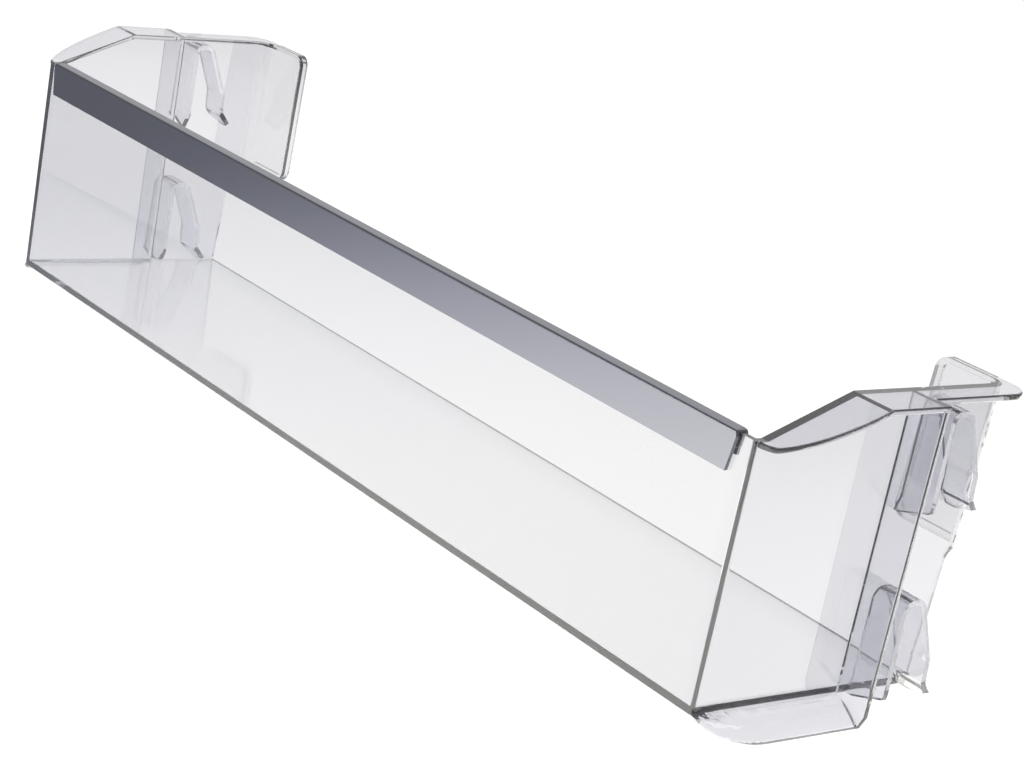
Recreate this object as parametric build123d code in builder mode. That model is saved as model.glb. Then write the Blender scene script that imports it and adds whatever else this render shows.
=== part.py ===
import os
from math import cos, radians, sin

from build123d import *

os.makedirs("parts", exist_ok=True)

# Clear body, in millimetres. Heights count from the underside of the floor,
# distances back count from the front panel's face at its top edge.
body_length = 474.0  # over the end walls, at the rim
body_depth = 113.4  # front panel's face to the back of the return flanges
panel_height = 94.2  # top of the front panel
rim_rise = 14.3  # the end walls rise this far above the front panel
wall = 2.4
floor_wall = 2.4

# Draft of the moulded walls, over the full height, and their corner rounds
end_draft = 2.0
panel_draft = 0.3
flange_draft = 3.8
corner_round_low = 2.0
corner_round_high = 0.8
rear_corner_round = 8.0
inside_corner_round = 0.6
inside_floor_round = 0.5
base_round = 0.7

# Rim of the end walls: level over the panel, then a slope, then level to the back
panel_land = 4.4
slope_run = 36.0

# Side lips, which stand out from the rim and cover the edge of the door's liner
lip_out = 16.0
lip_thick = 2.2
lip_nose = 38.0  # length of the lip's rounded front, front to back
lip_set = 1.2  # the lip starts this far behind the panel's face
lip_edge_round = 0.9  # outer edges of lip and rim

# Narrower rim behind the fins, round the rear corners and over the flanges
rim_out = 9.0
rim_back = 1.6
rim_corner_round = 10.0

# Return flanges at the back of the end walls, upper part only
flange_width_top = 32.0
flange_width_foot = 34.4
flange_drop = 59.0  # rim to the flange's lower edge
flange_round = 5.0
hem_wall = 2.2  # ridge round the flange's free edges, as far back as the rim

# Rear edge of the end walls and floor, below the flanges
rear_edge_low = 99.8
rear_edge_lean = 3.0
rear_edge_round = 4.0

# Fins, upright plates across the ends that tie each lip to its skirt
fin_from_back = 48.4
fin_thick = 2.2
fin_out_top = 15.6
fin_out_foot = 14.5
fin_edge_round = 0.8
fin_foot_below = 2.0  # the fin starts to narrow this far below the floor

# Skirts, hollow bullnosed feet below each end of the floor
skirt_out = 12.3
skirt_drop = 6.7
skirt_nose = 24.0  # length of the skirt's rounded front, front to back
skirt_set = 0.6  # the skirt starts this far behind the panel's face
skirt_wall = 2.0
skirt_seat = 2.5  # the skirt runs in under the floor by this much
skirt_bite = 1.0  # and rises into it by this much

# Hooks on the end walls, arched ribs that drop over the lugs of the door's liner
hook_out = 12.2
hook_wall = 2.2
hook_from_back = 39.1  # centre line of the front limb
hook_below_rim = 4.6  # centre line of the upper hook's crown
hook_above_floor = 37.9  # centre line of the lower hook's crown
hook_lower_set = 1.0  # the lower hook sits this much further forward
hook_height = 37.7  # crown to the end of the front limb
hook_crown = 7.6
hook_knee_back = 16.9
hook_knee_drop = 22.0
hook_heel_back = 17.4
hook_heel_drop = 31.0
hook_toe_back = 21.7
hook_toe_drop = 36.1
hook_front_flare = 1.9
hook_front_flare_height = 5.0
hook_crown_round = 3.3
hook_bend_round = 5.0
hook_foot_slant = 3.5  # the limbs are this much shorter at their outer edge

# Trim strip, a channel that clips over the front panel's top edge
fit_clearance = 0.1
trim_height = 14.4
trim_leg = 1.4
trim_cap = 1.2
trim_cap_fall = 0.5
trim_rear_leg = 1.2
trim_rear_height = 9.0
trim_end_gap = 7.1  # from the outside of the end wall to the strip's end
trim_end_slant = 2.5
trim_end_round = 2.5
trim_edge_round = 0.9
trim_bead_radius = 0.7
trim_bead_out = 0.4  # the bead stands out of the rear leg by this much
trim_bead_height = 3.0  # bead's centre above the rear leg's lower edge

# Sizes that follow from those above
rim_height = panel_height + rim_rise
trim_proud = trim_leg + fit_clearance
overall_depth = trim_proud + body_depth + rim_back
panel_y = trim_proud - overall_depth / 2
fin_front = body_depth - fin_from_back
fin_rear = fin_front + fin_thick
trim_top = panel_height + fit_clearance + trim_cap
trim_low = trim_top - trim_height
trim_rear_low = trim_top - trim_rear_height
trim_half = body_length / 2 - trim_end_gap
bead_height = trim_rear_low + trim_bead_height
over = 20.0  # cutters run past the body by this much

# Working planes, all through the panel's face at the underside of the floor
datum = (0, panel_y, skirt_drop)
plan_plane = Plane(origin=datum, x_dir=(1, 0, 0), z_dir=(0, 0, 1))
side_plane = Plane(origin=datum, x_dir=(0, 1, 0), z_dir=(1, 0, 0))
front_plane = Plane(origin=datum, x_dir=(1, 0, 0), z_dir=(0, -1, 0))


def half_length(height):
    return body_length / 2 - end_draft * (1 - height / rim_height)


def panel_face(height):
    return panel_draft * (1 - height / panel_height)


def flange_back(height):
    return body_depth - flange_draft * (1 - height / rim_height)


def plan_outline(height, inset, front_round, rear_round):
    half = half_length(height) - inset
    front = panel_face(height) + inset
    back = flange_back(height) - inset
    with BuildSketch(plan_plane.offset(height)) as outline:
        with BuildLine():
            Polyline((-half, front), (half, front), (half, back), (-half, back), close=True)
        make_face()
        fillet(outline.vertices().group_by(Axis.Y)[0], front_round)
        fillet(outline.vertices().group_by(Axis.Y)[-1], rear_round)
    return outline.sketch


# Outer edges of a plate that stands out from the right end, but not those across its thickness
def edges_along(plate, thickness):
    outside = plate.faces().filter_by(lambda face: face.normal_at().X > 0.5)
    return outside.edges().filter_by(lambda edge: edge.length > 1.5 * thickness)


half_low = half_length(0)
half_high = half_length(rim_height)
wall_middle = half_low - wall / 2
lip_run_start = lip_set + lip_nose
trim_inner_face = wall + fit_clearance
flange_foot = rim_height - flange_drop
gap_foot = half_high - flange_width_foot
gap_top = half_high - flange_width_top
corner_reach = 2 * flange_round
bead_back = panel_face(bead_height) + trim_inner_face + trim_bead_radius - trim_bead_out

# Inside of the shelf, a tapered block with a rounded lower edge
with BuildPart() as cavity:
    cavity_top = rim_height + over
    rear_inside_round = rear_corner_round - wall
    cavity_low_face = plan_outline(floor_wall, wall, inside_corner_round, rear_inside_round)
    cavity_high_face = plan_outline(cavity_top, wall, inside_corner_round, rear_inside_round)
    loft([cavity_low_face, cavity_high_face], ruled=True)
    fillet(cavity.faces().sort_by(Axis.Z)[0].edges(), inside_floor_round)

# Lip over one end, cut from its plan shape and then from the rim's side profile
with BuildPart() as lip:
    with BuildSketch(plan_plane):
        with BuildLine():
            nose = EllipticalCenterArc((half_high, lip_run_start), lip_out, lip_nose, 270, arc_size=90)
            run_end = (half_high + lip_out, fin_rear)
            Polyline(nose @ 1, run_end, (wall_middle, fin_rear), (wall_middle, lip_set), nose @ 0)
        make_face()
    extrude(amount=rim_height)
    with BuildSketch(side_plane):
        with BuildLine():
            slope_end = panel_land + slope_run
            Polyline(
                (-over, panel_height),
                (panel_land, panel_height),
                (slope_end, rim_height),
                (fin_rear, rim_height),
                (fin_rear, rim_height - lip_thick),
                (slope_end, rim_height - lip_thick),
                (panel_land, panel_height - lip_thick),
                (-over, panel_height - lip_thick),
                close=True,
            )
        make_face()
    extrude(amount=body_length, mode=Mode.INTERSECT)
    fillet(edges_along(lip, lip_thick), lip_edge_round)

# Narrower rim round the back, a plate with rounded edges
with BuildPart() as rim:
    with BuildSketch(plan_plane.offset(rim_height - lip_thick)) as rim_shape:
        with BuildLine():
            rim_half = half_high + rim_out
            rim_rear = body_depth + rim_back
            Polyline((-rim_half, fin_front), (rim_half, fin_front), (rim_half, rim_rear), (-rim_half, rim_rear), close=True)
        make_face()
        fillet(rim_shape.vertices().group_by(Axis.Y)[-1], rim_corner_round)
    extrude(amount=lip_thick)
    rim_front_edges = rim.faces().sort_by(Axis.Y)[0].edges()
    rim_edges = rim.edges().filter_by(Axis.Z, reverse=True)
    fillet([edge for edge in rim_edges if edge not in rim_front_edges], lip_edge_round)

# Fin across one end, from the lip down to the tip of the skirt
with BuildPart() as fin:
    with BuildSketch(front_plane.offset(-fin_front)):
        with BuildLine():
            fin_top = rim_height - lip_thick / 2
            skirt_edge = half_low + skirt_out
            Polyline(
                (wall_middle, fin_top),
                (half_high + fin_out_top, fin_top),
                (half_low + fin_out_foot, -fin_foot_below),
                (skirt_edge, -skirt_drop),
                (skirt_edge - skirt_wall, -skirt_drop),
                (wall_middle, skirt_bite),
                close=True,
            )
        make_face()
    extrude(amount=-fin_thick)
    fillet(edges_along(fin, fin_thick), fin_edge_round)


# Skirt below one end: a hollow bullnose that grows from nothing at the front corner
def skirt_section(back, share):
    top = (half_low - skirt_seat, skirt_bite)
    outer_width = (skirt_seat + skirt_out) * share
    outer_rise = (skirt_drop + skirt_bite) * share
    inner_width = outer_width - skirt_wall * share
    inner_rise = outer_rise - skirt_wall * share
    with BuildSketch(front_plane.offset(-back)) as section:
        with BuildLine():
            centre = (top[0], top[1] - outer_rise)
            outside = EllipticalCenterArc(centre, outer_width, outer_rise, 0, arc_size=90)
            inside = EllipticalCenterArc(centre, inner_width, inner_rise, 0, arc_size=90)
            Line(outside @ 0, inside @ 0)
            Line(outside @ 1, inside @ 1)
        make_face()
    return section.sketch


with BuildPart() as skirt:
    nose_steps = 7
    skirt_run_start = skirt_set + skirt_nose
    nose_sections = []
    # The first section, half a step from the tip, lies inside the floor
    for step in range(nose_steps):
        turn = radians(90) * (step + 0.5) / (nose_steps - 0.5)
        nose_sections.append(skirt_section(skirt_run_start - skirt_nose * cos(turn), sin(turn)))
    loft(nose_sections)
    extrude(nose_sections[-1], amount=-(fin_front + fin_thick / 2 - skirt_run_start))

# Hook, an arched rib with a slanted lower edge
with BuildPart() as hook:
    crown_height = rim_height - hook_below_rim
    limb_back = body_depth - hook_from_back
    with BuildSketch(side_plane.offset(wall_middle)):
        with BuildLine():
            FilletPolyline(
                (limb_back - hook_front_flare, crown_height - hook_height),
                (limb_back, crown_height - hook_height + hook_front_flare_height),
                (limb_back, crown_height),
                (limb_back + hook_crown, crown_height),
                (limb_back + hook_knee_back, crown_height - hook_knee_drop),
                (limb_back + hook_heel_back, crown_height - hook_heel_drop),
                (limb_back + hook_toe_back, crown_height - hook_toe_drop),
                radius=(hook_bend_round, hook_crown_round, hook_crown_round, hook_bend_round, hook_bend_round),
            )
        trace(line_width=hook_wall)
    extrude(amount=half_high + hook_out - wall_middle)
    with BuildSketch(front_plane.offset(-fin_rear)):
        with BuildLine():
            foot_height = crown_height - hook_height
            Polyline(
                (half_high, foot_height),
                (half_high + hook_out, foot_height + hook_foot_slant),
                (half_high + hook_out + over, foot_height + hook_foot_slant),
                (half_high + hook_out + over, foot_height - over),
                (half_high, foot_height - over),
                close=True,
            )
        make_face()
    extrude(amount=-body_depth, mode=Mode.SUBTRACT)

# Ridge round the free edges of one flange, twice as wide as what stays of it
with BuildPart() as hem:
    with BuildSketch(front_plane.offset(-rear_edge_low)):
        with BuildLine():
            FilletPolyline(
                (half_high - rear_corner_round, flange_foot),
                (gap_foot, flange_foot),
                (gap_top, rim_height),
                (half_high - rear_corner_round, rim_height),
                radius=flange_round,
            )
        trace(line_width=2 * hem_wall)
    extrude(amount=-body_depth)
    with BuildSketch(side_plane):
        with BuildLine():
            Polyline(
                (flange_back(flange_foot) - wall / 2, flange_foot),
                (flange_back(rim_height) - wall / 2, rim_height),
                (flange_back(rim_height) + rim_back, rim_height),
                (flange_back(flange_foot) + rim_back, flange_foot),
                close=True,
            )
        make_face()
    extrude(amount=body_length, mode=Mode.INTERSECT)

lower_hook_place = Location((0, -hook_lower_set, hook_above_floor - crown_height))

# Clear body: tray, rim, end fittings and hooks in one moulding
with BuildPart() as shelf:
    tray_low_face = plan_outline(0, 0, corner_round_low, rear_corner_round)
    tray_high_face = plan_outline(rim_height, 0, corner_round_high, rear_corner_round)
    loft([tray_low_face, tray_high_face], ruled=True)
    fillet(shelf.faces().sort_by(Axis.Z)[0].edges(), base_round)

    # Slope of the end walls, down to the front panel
    with BuildSketch(side_plane):
        with BuildLine():
            Polyline(
                (-over, panel_height),
                (panel_land, panel_height),
                (panel_land + slope_run, rim_height),
                (panel_land + slope_run, rim_height + over),
                (-over, rim_height + over),
                close=True,
            )
        make_face()
    extrude(amount=body_length, both=True, mode=Mode.SUBTRACT)

    # Rim round the back
    add(rim.part)

    # Fittings of the right end, then of the left
    for fitting in (lip.part, fin.part, skirt.part, hook.part, lower_hook_place * hook.part):
        add(fitting)
        mirror(fitting, about=Plane.YZ)

    add(cavity.part, mode=Mode.SUBTRACT)

    # Ridge round the free edges of the flanges, which the open back trims to its width
    add(hem.part)
    mirror(hem.part, about=Plane.YZ)

    # Open back: everything behind the rear edge below the flanges
    with BuildSketch(side_plane) as rear_edge:
        with BuildLine():
            Polyline(
                (rear_edge_low, -over),
                (rear_edge_low, 0),
                (rear_edge_low + rear_edge_lean, flange_foot),
                (body_depth + over, flange_foot),
                (body_depth + over, -over),
                close=True,
            )
        make_face()
        inner_corner = rear_edge.vertices().group_by(Axis.Y)[-1].sort_by(Axis.X)[0]
        fillet(inner_corner, rear_edge_round)
    extrude(amount=body_length, both=True, mode=Mode.SUBTRACT)

    # Open back: the gap between the two flanges, which have rounded corners
    with BuildSketch(front_plane.offset(-rear_edge_low)):
        with BuildLine():
            edge = FilletPolyline(
                (gap_foot + corner_reach, flange_foot),
                (gap_foot, flange_foot),
                (gap_top, rim_height),
                (gap_top + corner_reach, rim_height),
                radius=flange_round,
            )
            gap_high = rim_height + over
            gap_low = flange_foot - flange_round
            Polyline(edge @ 1, (gap_top + corner_reach, gap_high), (0, gap_high), (0, gap_low))
            Polyline((0, gap_low), (gap_foot + corner_reach, gap_low), edge @ 0)
        make_face()
        mirror(about=Plane.YZ)
    extrude(amount=-body_depth, mode=Mode.SUBTRACT)

    # Shallow groove inside the panel for the trim strip's bead
    with BuildSketch(side_plane):
        with Locations((bead_back, bead_height)):
            Circle(trim_bead_radius + fit_clearance)
    extrude(amount=trim_half, both=True, mode=Mode.SUBTRACT)

shelf.part.label = "shelf"
export_step(shelf.part, "parts/shelf.step")

# Trim strip, drawn as its section and cut to its outline from the front
with BuildPart() as trim_strip:
    with BuildSketch(side_plane) as section:
        seat = panel_height + fit_clearance
        rear_face = trim_inner_face + trim_rear_leg
        with BuildLine():
            Polyline(
                (panel_face(trim_low) - trim_proud, trim_low),
                (panel_face(trim_top) - trim_proud, trim_top - trim_cap_fall),
                (panel_face(trim_top) + rear_face, trim_top),
                (panel_face(trim_rear_low) + rear_face, trim_rear_low),
                (panel_face(trim_rear_low) + trim_inner_face, trim_rear_low),
                (panel_face(seat) + trim_inner_face, seat),
                (panel_face(seat) - fit_clearance, seat),
                (panel_face(trim_low) - fit_clearance, trim_low),
                close=True,
            )
        make_face()
        fillet(section.vertices().sort_by(Axis.Y)[-2:], trim_edge_round)
        with Locations((bead_back, bead_height)):
            Circle(trim_bead_radius)
    extrude(amount=trim_half, both=True)
    with BuildSketch(front_plane) as front_shape:
        with BuildLine():
            low_half = trim_half - trim_end_slant
            Polyline((-low_half, trim_low), (low_half, trim_low), (trim_half, trim_top), (-trim_half, trim_top), close=True)
        make_face()
        fillet(front_shape.vertices().group_by(Axis.Y)[-1], trim_end_round)
    extrude(amount=over, both=True, mode=Mode.INTERSECT)

trim_strip.part.label = "trim_strip"
export_step(trim_strip.part, "parts/trim_strip.step")
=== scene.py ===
import math

import bmesh
import bpy
from mathutils import Matrix, Vector


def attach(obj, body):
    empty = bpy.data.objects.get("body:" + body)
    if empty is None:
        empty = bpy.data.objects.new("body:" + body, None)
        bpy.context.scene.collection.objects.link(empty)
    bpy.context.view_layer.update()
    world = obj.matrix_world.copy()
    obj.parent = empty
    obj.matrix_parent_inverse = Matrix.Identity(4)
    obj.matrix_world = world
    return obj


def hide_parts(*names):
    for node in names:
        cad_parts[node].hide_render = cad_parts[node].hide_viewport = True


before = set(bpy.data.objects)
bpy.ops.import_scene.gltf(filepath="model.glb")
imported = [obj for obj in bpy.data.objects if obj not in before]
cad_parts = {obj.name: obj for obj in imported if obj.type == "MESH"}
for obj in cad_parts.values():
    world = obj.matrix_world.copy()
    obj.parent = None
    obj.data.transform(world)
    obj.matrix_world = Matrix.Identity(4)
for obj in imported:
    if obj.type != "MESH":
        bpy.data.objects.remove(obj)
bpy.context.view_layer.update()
scene = bpy.context.scene

# Clear body: the whole shelf but its strip, one moulding in crystal-clear styrene.
# It is shot into a polished steel tool, so the walls are glassy and the floor carries
# a fine grain; the drafted walls, lips, fins, skirts and hooks all come out in one piece.
same_point = 1e-6
shell = bmesh.new()
shell.from_mesh(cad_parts["shelf"].data)
bmesh.ops.remove_doubles(shell, verts=shell.verts, dist=same_point)
shell.normal_update()
shell.faces.ensure_lookup_table()


def across(edges, bend):
    for edge in edges:
        if len(edge.link_faces) == 2 and edge.calc_face_angle() < bend:
            yield from edge.link_faces


def mean_normal(faces):
    return sum((face.normal * face.calc_area() for face in faces), Vector()).normalized()


# Faces that lie level with each other grow into flat patches, kept as area and normal.
level = math.radians(0.25)
patch_of = {}
patches = []
for seed in shell.faces:
    if seed.index in patch_of:
        continue
    patch_of[seed.index] = len(patches)
    grown = [seed]
    for face in grown:
        for near in across(face.edges, level):
            if near.index not in patch_of and near.normal.angle(seed.normal, 0) < 2 * level:
                patch_of[near.index] = len(patches)
                grown.append(near)
    patches.append((sum(face.calc_area() for face in grown), mean_normal(grown)))

# Flat walls keep one normal each; the rounds between them start and end on those normals.
# The upright rounds of the two front corners are so small that they shade as crisp corners.
crease = math.radians(28)
flat_area = 2.5e-5
wall_area = 1e-3
front_rounds_depth = -0.0545
front_rounds_reach = 0.2
upright_lean = 0.5
walls = [normal for area, normal in patches if area > wall_area]
corner_normals = []
for face in shell.faces:
    own_area, own_normal = patches[patch_of[face.index]]
    middle = face.calc_center_median()
    at_the_front = middle.y < front_rounds_depth and abs(middle.x) > front_rounds_reach
    for corner in face.loops:
        normal = own_normal
        if own_area < flat_area and at_the_front and abs(face.normal.z) < upright_lean:
            normal = max(walls, key=face.normal.dot)
        elif own_area < flat_area:
            fan = [face]
            for part in fan:
                touching = [edge for edge in part.edges if corner.vert in edge.verts]
                for near in across(touching, crease):
                    if near not in fan:
                        fan.append(near)
            nearby = [patches[patch_of[part.index]] for part in fan]
            area, normal = max(nearby, key=lambda patch: patch[0])
            if area < flat_area:
                normal = mean_normal(fan)
        corner_normals.append(normal)
clear_mesh = bpy.data.meshes.new("clear_body")
shell.to_mesh(clear_mesh)
shell.free()
for face in clear_mesh.polygons:
    face.use_smooth = True
clear_mesh.normals_split_custom_set(corner_normals)
clear_body = bpy.data.objects.new("clear_body", clear_mesh)
scene.collection.objects.link(clear_body)


def ramp(tree, source, span, levels, shape="LINEAR"):
    scaled = tree.nodes.new("ShaderNodeMapRange")
    scaled.interpolation_type = shape
    scaled.inputs["From Min"].default_value, scaled.inputs["From Max"].default_value = span
    scaled.inputs["To Min"].default_value, scaled.inputs["To Max"].default_value = levels
    tree.links.new(source, scaled.inputs["Value"])
    return scaled.outputs["Result"]


def speckle(tree, place, scale, detail):
    noise = tree.nodes.new("ShaderNodeTexNoise")
    noise.inputs["Scale"].default_value = scale
    noise.inputs["Detail"].default_value = detail
    tree.links.new(place, noise.inputs["Vector"])
    return noise.outputs["Fac"]


def two_tone(tree, share, first, second):
    tone = tree.nodes.new("ShaderNodeMix")
    tone.data_type = "RGBA"
    tone.inputs["A"].default_value = (*first, 1)
    tone.inputs["B"].default_value = (*second, 1)
    tree.links.new(share, tone.inputs["Factor"])
    return tone.outputs["Result"]


def layer(tree, chooser, below, above):
    mix = tree.nodes.new("ShaderNodeMixShader")
    tree.links.new(chooser, mix.inputs["Fac"])
    tree.links.new(below, mix.inputs[1])
    tree.links.new(above, mix.inputs[2])
    return mix.outputs[0]


clear_styrene = bpy.data.materials.new("clear_styrene")
clear_styrene.use_nodes = True
tree = clear_styrene.node_tree
tree.nodes.clear()
out = tree.nodes.new("ShaderNodeOutputMaterial")
place = tree.nodes.new("ShaderNodeTexCoord").outputs["Object"]
axes = tree.nodes.new("ShaderNodeSeparateXYZ")
tree.links.new(place, axes.inputs[0])
gloss = tree.nodes.new("ShaderNodeBsdfPrincipled")
gloss.inputs["Transmission Weight"].default_value = 0.96
gloss.inputs["IOR"].default_value = 1.58
haze = ramp(tree, speckle(tree, place, scale=35.0, detail=2.0), (0.35, 0.75), (0.004, 0.02))
tree.links.new(haze, gloss.inputs["Roughness"])

# The grain stops just above the floor's top face, so the walls stay polished.
floor_top = 0.0094
grain_end = 0.0097
grained = tree.nodes.new("ShaderNodeBump")
grained.inputs["Distance"].default_value = 0.0003
floor_only = ramp(tree, axes.outputs["Z"], (floor_top, grain_end), (0.06, 0.0))
tree.links.new(floor_only, grained.inputs["Strength"])
tree.links.new(speckle(tree, place, scale=700.0, detail=1.0), grained.inputs["Height"])
tree.links.new(grained.outputs["Normal"], gloss.inputs["Normal"])

# The end walls and all that stands outside them look a shade greyer than panel and floor.
end_walls = (0.228, 0.236)
off_centre = tree.nodes.new("ShaderNodeMath")
off_centre.operation = "ABSOLUTE"
tree.links.new(axes.outputs["X"], off_centre.inputs[0])
at_the_ends = ramp(tree, off_centre.outputs[0], end_walls, (0.0, 1.0))
tint = two_tone(tree, at_the_ends, (0.865, 0.865, 0.875), (0.82, 0.82, 0.855))
tree.links.new(tint, gloss.inputs["Base Color"])

# Lamps shine through the sheets, and light that runs a long way inside them turns grey.
rays = tree.nodes.new("ShaderNodeLightPath")
open_to_lamps = tree.nodes.new("ShaderNodeBsdfTransparent")
open_to_lamps.inputs["Color"].default_value = (0.95, 0.95, 0.96, 1)
sheets = layer(tree, rays.outputs["Is Shadow Ray"], gloss.outputs["BSDF"], open_to_lamps.outputs["BSDF"])
tree.links.new(sheets, out.inputs["Surface"])
absorb = tree.nodes.new("ShaderNodeVolumeAbsorption")
absorb.inputs["Color"].default_value = (0.5, 0.51, 0.6, 1)
absorb.inputs["Density"].default_value = 14.0
tree.links.new(absorb.outputs["Volume"], out.inputs["Volume"])
clear_mesh.materials.append(clear_styrene)
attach(clear_body, "root")
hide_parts("shelf")

# Trim strip: a channel that clips over the front panel's top edge. It is extruded
# plastic with a satin metallic grey lacquer, cut to length at a slight slant;
# the fine grain runs lengthwise, as the strip was drawn.
satin_grey = bpy.data.materials.new("satin_grey")
satin_grey.use_nodes = True
tree = satin_grey.node_tree
lacquer = tree.nodes["Principled BSDF"]
lacquer.inputs["Metallic"].default_value = 0.95
place = tree.nodes.new("ShaderNodeTexCoord").outputs["Object"]
lengthwise = tree.nodes.new("ShaderNodeMapping")
lengthwise.inputs["Scale"].default_value = (0.05, 1.0, 1.0)
tree.links.new(place, lengthwise.inputs["Vector"])
grain = speckle(tree, lengthwise.outputs["Vector"], scale=2600.0, detail=1.0)
satin = ramp(tree, grain, (0.3, 0.7), (0.285, 0.315))
tree.links.new(satin, lacquer.inputs["Roughness"])
flakes = two_tone(tree, grain, (0.246, 0.249, 0.279), (0.258, 0.261, 0.293))
tree.links.new(flakes, lacquer.inputs["Base Color"])
drawn = tree.nodes.new("ShaderNodeBump")
drawn.inputs["Strength"].default_value = 0.02
drawn.inputs["Distance"].default_value = 0.0001
tree.links.new(grain, drawn.inputs["Height"])
tree.links.new(drawn.outputs["Normal"], lacquer.inputs["Normal"])
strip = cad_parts["trim_strip"]
strip.data.materials.clear()
strip.data.materials.append(satin_grey)

# Floor: a plain pale sheet under the shelf, seen as white, that keeps its soft shadow.
# Seen through the clear body it carries painted shade far out and to the right. Seen in
# reflections it carries painted light and shade: dark and bluish at the left, palest by the middle and
# dark again far to the right.
floor_reach = 12.0
floor_drop = 0.0004
floor_mesh = bpy.data.meshes.new("floor")
floor_corners = [(x * floor_reach, y * floor_reach, 0) for x, y in ((-1, -1), (1, -1), (1, 1), (-1, 1))]
floor_mesh.from_pydata(floor_corners, [], [(0, 1, 2, 3)])
floor = bpy.data.objects.new("floor", floor_mesh)
floor.location.z = -floor_drop
scene.collection.objects.link(floor)


def fade(tree, source, span, levels):
    return ramp(tree, source, span, levels, "SMOOTHSTEP")


def times(tree, first, second):
    product = tree.nodes.new("ShaderNodeMath")
    product.operation = "MULTIPLY"
    tree.links.new(first, product.inputs[0])
    tree.links.new(second, product.inputs[1])
    return product.outputs[0]


def along(tree, place, direction):
    distance = tree.nodes.new("ShaderNodeVectorMath")
    distance.operation = "DOT_PRODUCT"
    distance.inputs[1].default_value = direction
    tree.links.new(place, distance.inputs[0])
    return distance.outputs["Value"]


pale_floor = bpy.data.materials.new("pale_floor")
pale_floor.use_nodes = True
tree = pale_floor.node_tree
tree.nodes.clear()
out = tree.nodes.new("ShaderNodeOutputMaterial")
rays = tree.nodes.new("ShaderNodeLightPath")
place = tree.nodes.new("ShaderNodeTexCoord").outputs["Object"]
axes = tree.nodes.new("ShaderNodeSeparateXYZ")
tree.links.new(place, axes.inputs[0])

# Light falls on pale paper; the camera sees it lifted to white, with its shadow.
paper = tree.nodes.new("ShaderNodeBsdfDiffuse")
paper.inputs["Color"].default_value = (0.8, 0.8, 0.8, 1)
seen_paper = tree.nodes.new("ShaderNodeBsdfDiffuse")
seen_paper.inputs["Color"].default_value = (0.3, 0.3, 0.3, 1)
lift = tree.nodes.new("ShaderNodeEmission")
lift.inputs["Strength"].default_value = 0.88
seen = tree.nodes.new("ShaderNodeAddShader")
tree.links.new(lift.outputs[0], seen.inputs[0])
tree.links.new(seen_paper.outputs[0], seen.inputs[1])

# Painted shade and light seen only through the clear body: darker far out, far left and to the right, a
# touch lighter towards the front.
from_the_middle = tree.nodes.new("ShaderNodeVectorMath")
from_the_middle.operation = "LENGTH"
tree.links.new(place, from_the_middle.inputs[0])
shade_all_round = fade(tree, from_the_middle.outputs["Value"], (1.05, 1.45), (0.96, 0.2))
shade_right = fade(tree, along(tree, place, (0.87, 0.5, 0)), (0.4, 0.5), (1.0, 0.5))
light_under = fade(tree, axes.outputs["Y"], (0.04, 0.055), (1.12, 1.0))
shade_far_left = fade(tree, axes.outputs["X"], (-0.72, -0.5), (0.94, 1.0))
painted_through_shade = times(tree, times(tree, shade_all_round, shade_right), times(tree, light_under, shade_far_left))
through = tree.nodes.new("ShaderNodeEmission")
tree.links.new(painted_through_shade, through.inputs["Strength"])

# Painted reflection for the strip and the sheets: seen only in glossy rays, the floor is painted dark
# and bluish at the left, palest by the middle and dark again far to the right.
dark_to_pale = (-0.46, 0.1)
dark_left = fade(tree, axes.outputs["X"], dark_to_pale, (0.33, 2.55))
dark_right = fade(tree, axes.outputs["X"], (0.28, 0.6), (1.0, 0.2))
from_the_left = fade(tree, axes.outputs["X"], dark_to_pale, (0.0, 1.0))
cool_left = two_tone(tree, from_the_left, (0.92, 0.95, 1.1), (1.0, 0.99, 0.93))
painted_reflection = tree.nodes.new("ShaderNodeEmission")
tree.links.new(cool_left, painted_reflection.inputs["Color"])
tree.links.new(times(tree, dark_left, dark_right), painted_reflection.inputs["Strength"])

surface = layer(tree, rays.outputs["Is Camera Ray"], paper.outputs[0], seen.outputs[0])
surface = layer(tree, rays.outputs["Is Glossy Ray"], surface, painted_reflection.outputs[0])
surface = layer(tree, rays.outputs["Is Transmission Ray"], surface, through.outputs[0])
tree.links.new(surface, out.inputs["Surface"])
floor_mesh.materials.append(pale_floor)


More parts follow.
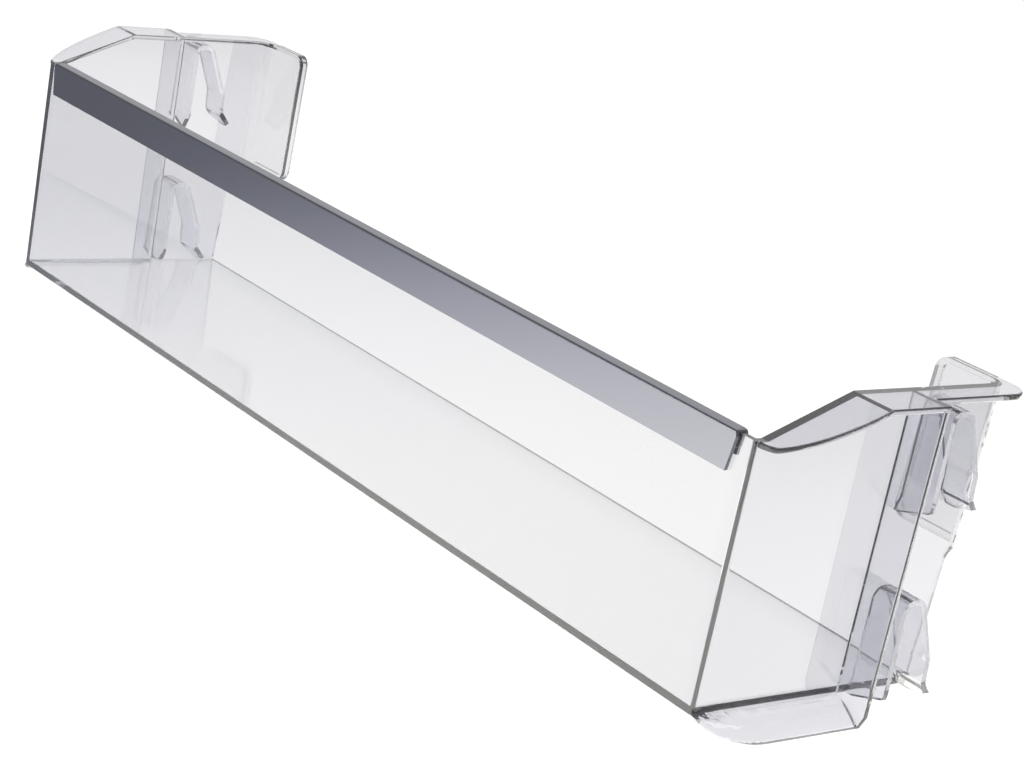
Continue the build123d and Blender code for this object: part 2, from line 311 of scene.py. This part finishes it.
# Studio light: a wide soft box overhead, a weak one at the front left,
# and a pale room that is lightest behind the shelf and white to the camera.
def soft_box(name, place, aim, size, power):
    lamp = bpy.data.lights.new(name, "AREA")
    lamp.shape = "SQUARE"
    lamp.size = size
    lamp.energy = power
    holder = bpy.data.objects.new(name, lamp)
    holder.location = place
    holder.rotation_euler = (Vector(aim) - Vector(place)).to_track_quat("-Z", "Y").to_euler()
    holder.visible_camera = False
    holder.visible_transmission = False
    scene.collection.objects.link(holder)


soft_box("overhead", (0.2, 0.2, 1.6), aim=(0, 0, 0), size=1.6, power=16.0)
soft_box("front", (-0.45, -1.15, 0.2), aim=(0.2, 0, 0.1), size=0.5, power=4.0)

room = bpy.data.worlds.new("room")
scene.world = room
room.use_nodes = True
tree = room.node_tree
tree.nodes.clear()
out = tree.nodes.new("ShaderNodeOutputWorld")
rays = tree.nodes.new("ShaderNodeLightPath")
place = tree.nodes.new("ShaderNodeTexCoord").outputs["Generated"]
toward_backdrop = along(tree, place, (-0.79, 0.59, 0.17))
seen_room = tree.nodes.new("ShaderNodeBackground")
seen_room.inputs["Color"].default_value = (1, 1, 1, 1)
lit_room = tree.nodes.new("ShaderNodeBackground")
tree.links.new(fade(tree, toward_backdrop, (0.62, 0.9), (0.3, 1.08)), lit_room.inputs["Strength"])
surroundings = layer(tree, rays.outputs["Is Camera Ray"], lit_room.outputs[0], seen_room.outputs[0])
tree.links.new(surroundings, out.inputs["Surface"])

# Camera: a long lens from the front right, a little above the rim. Its turn is
# an axis whose length is the angle, with the picture's Y down and Z forward.
eye = bpy.data.cameras.new("eye")
eye.sensor_width = 36.0
eye.lens = 89.39
eye.shift_x = 0.0089
eye.shift_y = -0.0738
eye.clip_start = 0.01
eye.clip_end = 100.0
camera = bpy.data.objects.new("camera", eye)
camera_place = (0.75702, -0.59857, 0.32931)
turn_axis = Vector((1.6019, 0.9483, -0.4792))
turn = Matrix.Rotation(turn_axis.length, 3, turn_axis)
camera_axes = Matrix((turn[0], -turn[1], -turn[2])).transposed()
camera.matrix_world = Matrix.Translation(camera_place) @ camera_axes.to_4x4()
scene.collection.objects.link(camera)
scene.camera = camera

scene.view_settings.view_transform = "Standard"
